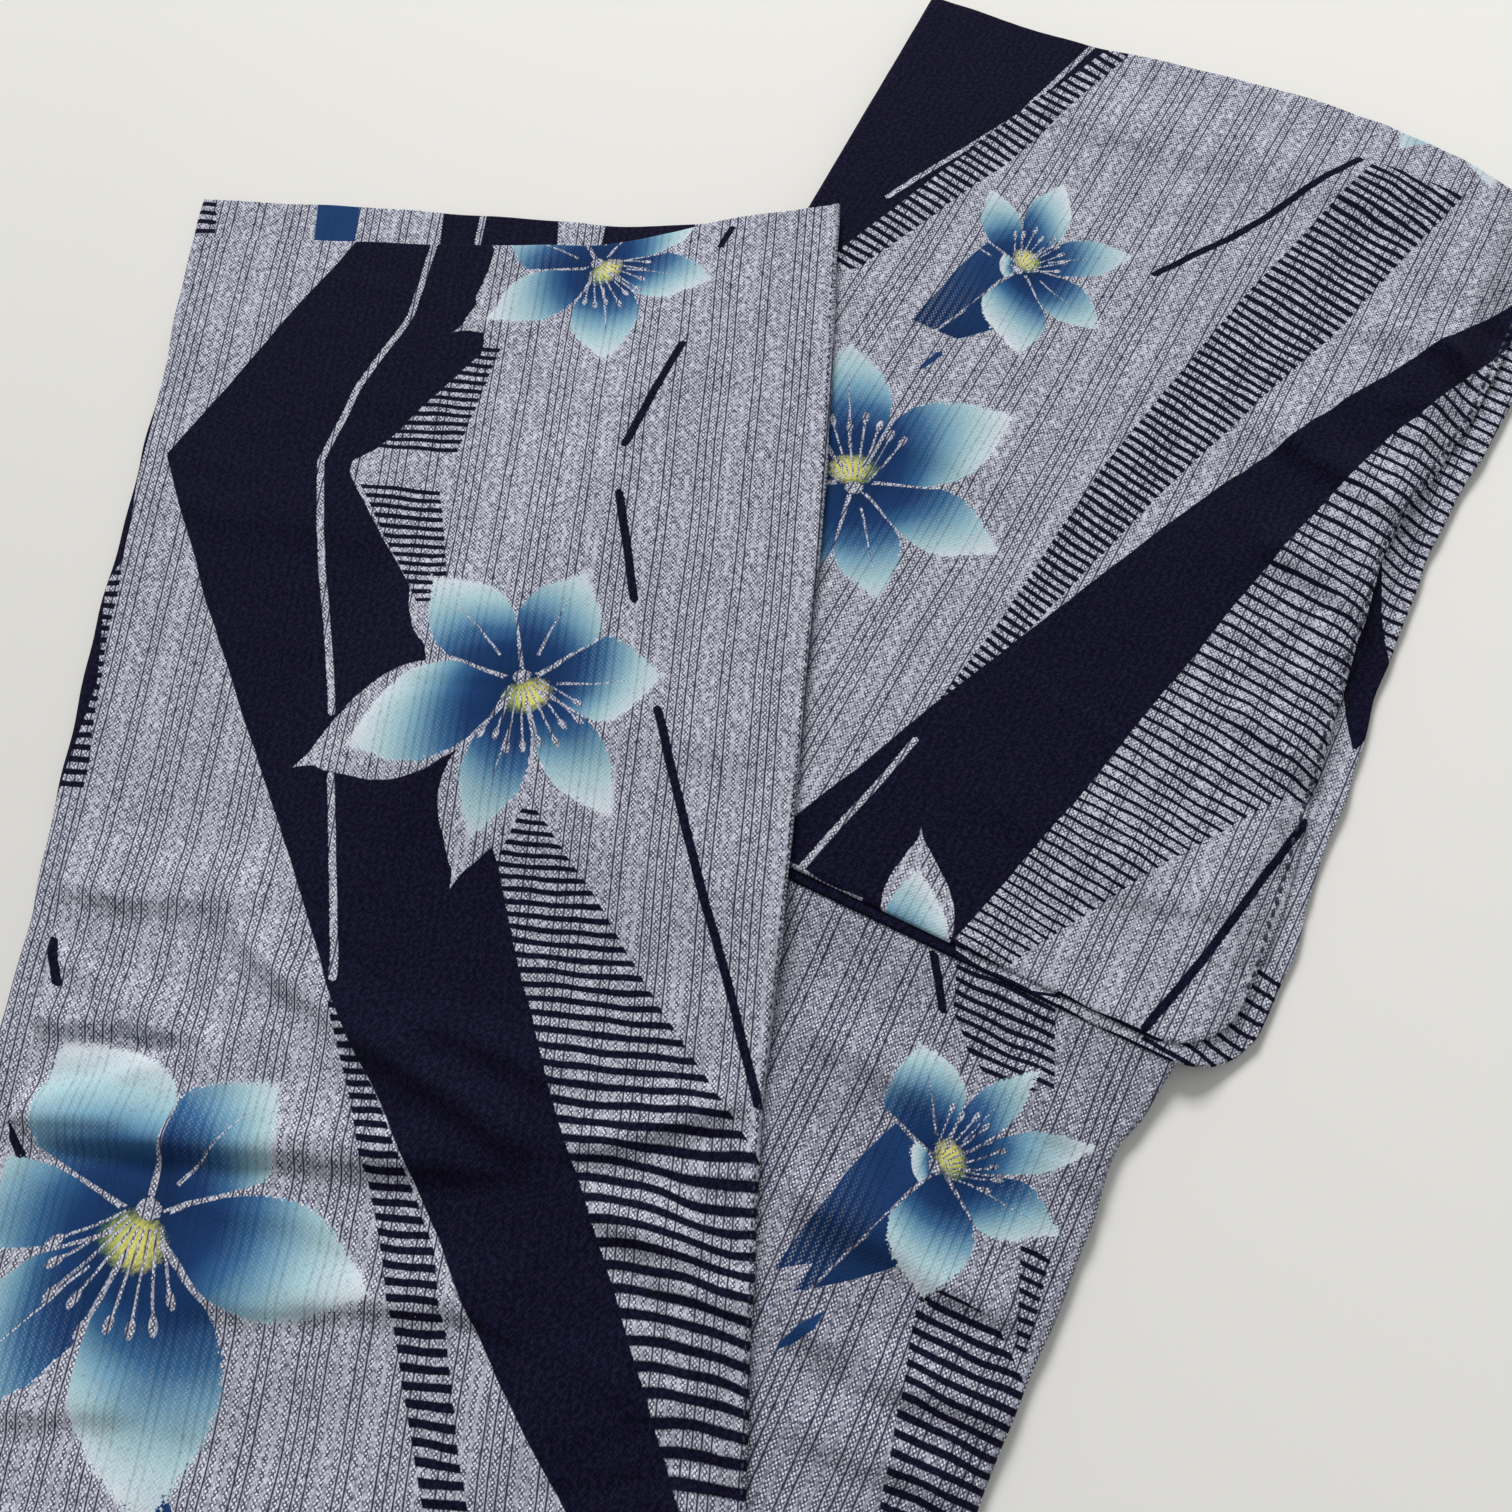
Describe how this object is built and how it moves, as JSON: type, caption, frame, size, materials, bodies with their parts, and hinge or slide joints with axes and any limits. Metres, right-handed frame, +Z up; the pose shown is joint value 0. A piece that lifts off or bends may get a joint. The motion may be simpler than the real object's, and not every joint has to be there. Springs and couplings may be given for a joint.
{
  "type": "folded cotton yukata robe",
  "caption": "Cotton yukata robe folded lengthways and in two, laid flat as a narrow V, with one sleeve folded back over the shoulder half.",
  "frame": {"origin": "centre of the bundle's footprint, on the surface it lies on", "axes": "+Z up from the surface; +Y towards the hem and the shoulder, away from the turn; +X to the right of someone standing at the turn"},
  "size_m": [0.7601, 0.9212, 0.0203],
  "materials": {
    "printed_cotton": "matt ribbed cotton, grey-lavender ground with navy bands, fine dark lines and blue flowers"
  },
  "bodies": {
    "root": {"back_right_skirt": "printed_cotton", "front_right_skirt": "printed_cotton", "folded_layers_skirt": "printed_cotton", "back_left_shoulder": "printed_cotton", "back_right_shoulder": "printed_cotton", "folded_layers_shoulder": "printed_cotton", "sleeve_left_front": "printed_cotton", "sleeve_left_back": "printed_cotton", "sleeve_right": "printed_cotton", "collar": "printed_cotton"}
  },
  "joints": []
}
